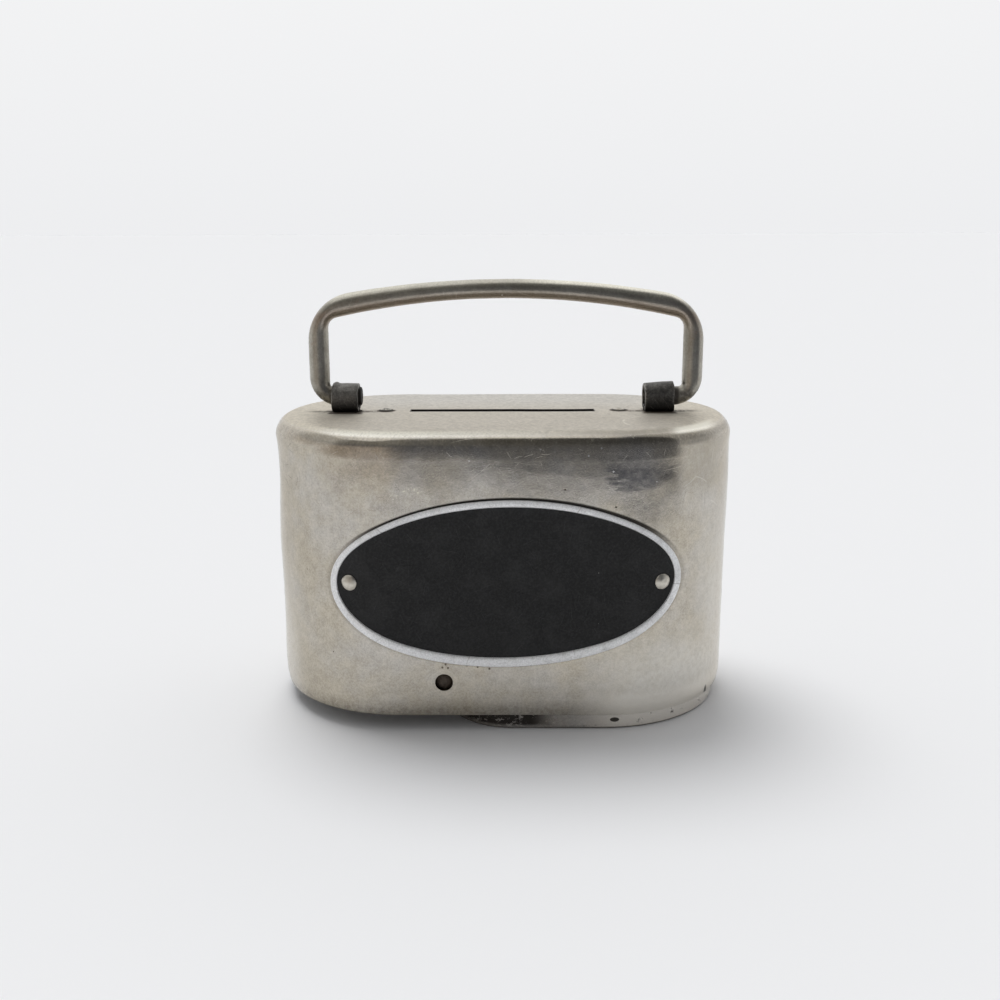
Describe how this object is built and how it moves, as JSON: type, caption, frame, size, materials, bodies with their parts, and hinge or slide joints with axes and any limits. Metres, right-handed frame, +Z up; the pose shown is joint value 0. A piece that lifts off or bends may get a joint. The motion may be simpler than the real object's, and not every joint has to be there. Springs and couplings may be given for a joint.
{
  "type": "metal coin bank",
  "caption": "Oval sheet-metal coin bank with a swinging handle, a guarded coin slot, a riveted nameplate and a locking bottom pan that tips open.",
  "frame": {"origin": "on the resting plane, under the middle of the oval shell", "axes": "+X to the bank's right along its length, -Y out of the nameplate's side, +Z up"},
  "size_m": [0.1026, 0.0588, 0.0946],
  "materials": {
    "nickel_shell": "worn satin nickel plate with fine scratches and spots",
    "handle_rod": "worn satin nickel plate, dulled",
    "black_strap": "blackened, rubbed at the edges",
    "nameplate": "black field with a bright raised rim",
    "rivet_nickel": "dulled nickel",
    "dark_pin": "dark, corroded",
    "pan_steel": "worn satin nickel plate with black corrosion",
    "inner_steel": "plain rolled steel, dull",
    "plug_brass": "worn, tarnished",
    "spring_steel": "blued"
  },
  "bodies": {
    "shell": {"case_shell": "nickel_shell", "slot_guard": "inner_steel", "guard_rivets": "rivet_nickel", "flap_pin": "inner_steel", "handle_strap_left": "black_strap", "handle_strap_right": "black_strap", "nameplate": "nameplate", "nameplate_rivets": "rivet_nickel", "hinge_pin": "dark_pin", "stop_strap": "inner_steel", "end_rivets": "rivet_nickel", "keeper": "inner_steel"},
    "handle": {"handle": "handle_rod"},
    "flap": {"guard_flap": "inner_steel"},
    "pan": {"bottom_pan": "pan_steel", "lock_case": "inner_steel", "lock_cover": "inner_steel", "lock_rivets": "rivet_nickel", "bolt_spring": "spring_steel"},
    "plug": {"lock_plug": "plug_brass"},
    "bolt": {"lock_bolt": "inner_steel"}
  },
  "joints": [
    {"name": "handle_swing", "type": "hinge", "parent": "shell", "child": "handle", "pos_m": [0.0008, 0, 0.0686], "axis": [1, 0, 0], "range_deg": [-92, 92]},
    {"name": "flap_swing", "type": "hinge", "parent": "shell", "child": "flap", "pos_m": [0, 0.005, 0.0618], "axis": [-1, 0, 0], "range_deg": [0, 86]},
    {"name": "pan_tip", "type": "hinge", "parent": "shell", "child": "pan", "pos_m": [-0.0125, 0, 0.01135], "axis": [0, 1, 0], "range_deg": [0, 40]},
    {"name": "plug_turn", "type": "hinge", "parent": "pan", "child": "plug", "pos_m": [0.024, 0, 0.005], "axis": [0, 0, 1], "range_deg": [0, 90]},
    {"name": "bolt_slide", "type": "slide", "parent": "pan", "child": "bolt", "axis": [1, 0, 0], "range_m": [0, 0.003]}
  ],
  "couplings": [
    {"joint": "plug_turn", "follows": "bolt_slide", "rad_per_m": 523.59}
  ]
}
